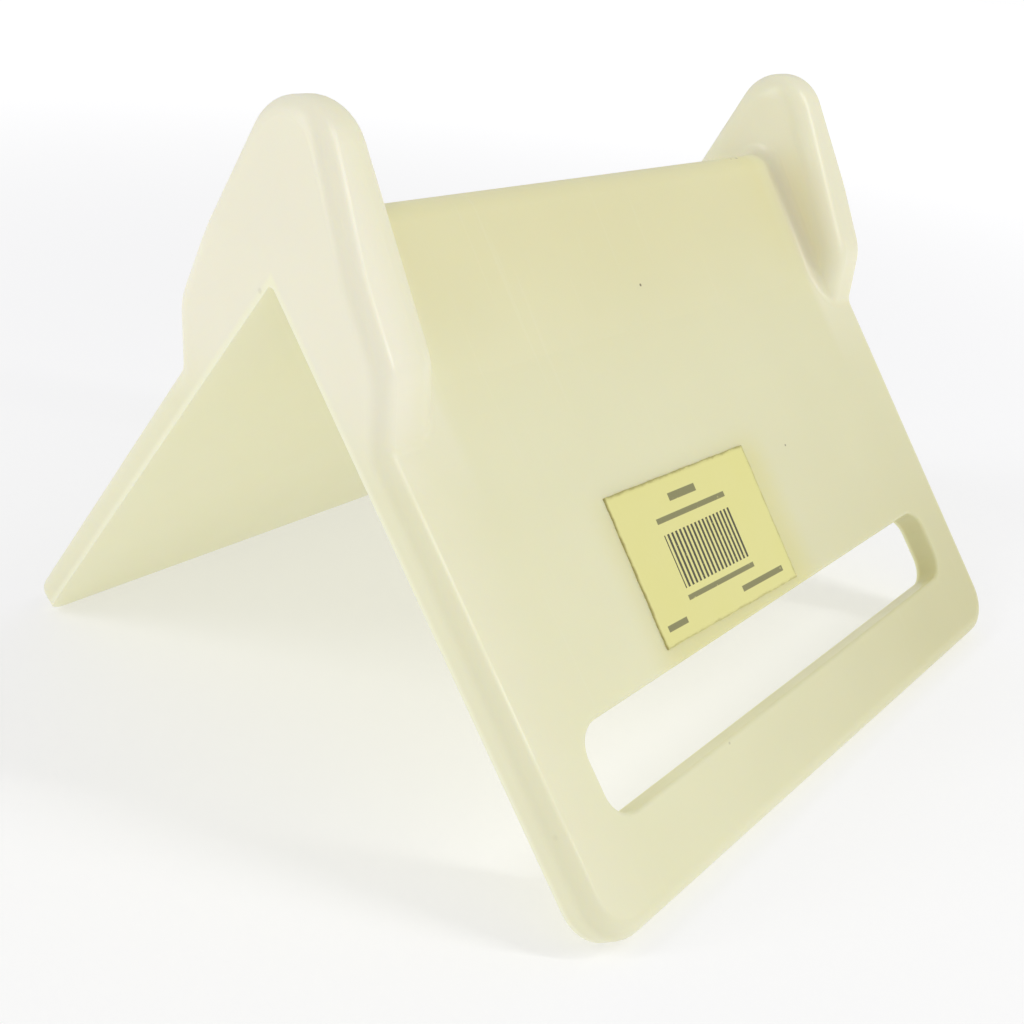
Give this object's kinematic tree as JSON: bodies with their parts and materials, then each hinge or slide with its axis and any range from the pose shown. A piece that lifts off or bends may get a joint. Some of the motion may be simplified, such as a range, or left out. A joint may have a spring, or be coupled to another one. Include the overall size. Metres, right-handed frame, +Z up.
{
  "type": "corner protector",
  "caption": "V-shaped moulded corner protector with a rounded strap saddle, a strap guide at each end of the ridge and a long strap slot in one leg.",
  "frame": {"origin": "middle of the footprint, at the level that the ends of the two legs stand on", "axes": "+X along the ridge, +Y towards the plain back leg with the slotted leg on -Y, +Z up through the ridge"},
  "size_m": [0.175, 0.1696, 0.1288],
  "materials": {
    "polyethylene": "satin, slightly translucent natural polyethylene"
  },
  "bodies": {
    "root": {"corner_protector": "polyethylene"}
  },
  "joints": []
}
